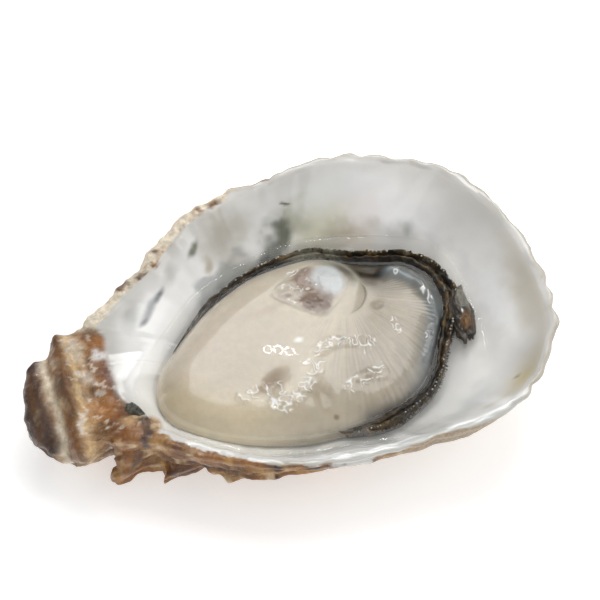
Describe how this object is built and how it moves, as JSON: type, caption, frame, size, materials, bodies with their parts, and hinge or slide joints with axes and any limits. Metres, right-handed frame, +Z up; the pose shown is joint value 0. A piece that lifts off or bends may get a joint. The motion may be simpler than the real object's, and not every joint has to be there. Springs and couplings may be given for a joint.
{
  "type": "opened oyster on the half shell",
  "caption": "Opened cupped oyster on the half shell: deep lower valve with thick hinge end, raw soft body with frilled dark mantle, and clear brine.",
  "frame": {"origin": "on the resting face, under the middle of the shell's plan box", "axes": "+X from the hinge to the bill (the thin open end), +Y towards the high side of the rim, +Z up, out of the hollow"},
  "size_m": [0.1166, 0.0718, 0.0282],
  "materials": {
    "shell_nacre": "wet porcelain white inside with grey-blue and olive stains; layered wet tan, rust and dark brown growth layers outside",
    "ligament_horn": "dark olive-brown horny pad, wet",
    "body_cream": "smooth wet cream and beige flesh, slightly translucent",
    "muscle_pearl": "wet muscle, pearly white part beside a pink-brown part",
    "gill_beige": "wet beige gill leaves with fine radial ridges, bluish at the outer side",
    "mantle_dark": "wet black-brown frilled edge with small papillae",
    "brine": "clear colourless sea water with a glossy surface"
  },
  "bodies": {
    "root": {"lower_shell": "shell_nacre", "hinge_ligament": "ligament_horn", "visceral_mass": "body_cream", "adductor_muscle": "muscle_pearl", "gills": "gill_beige", "mantle": "mantle_dark", "liquor": "brine"}
  },
  "joints": []
}
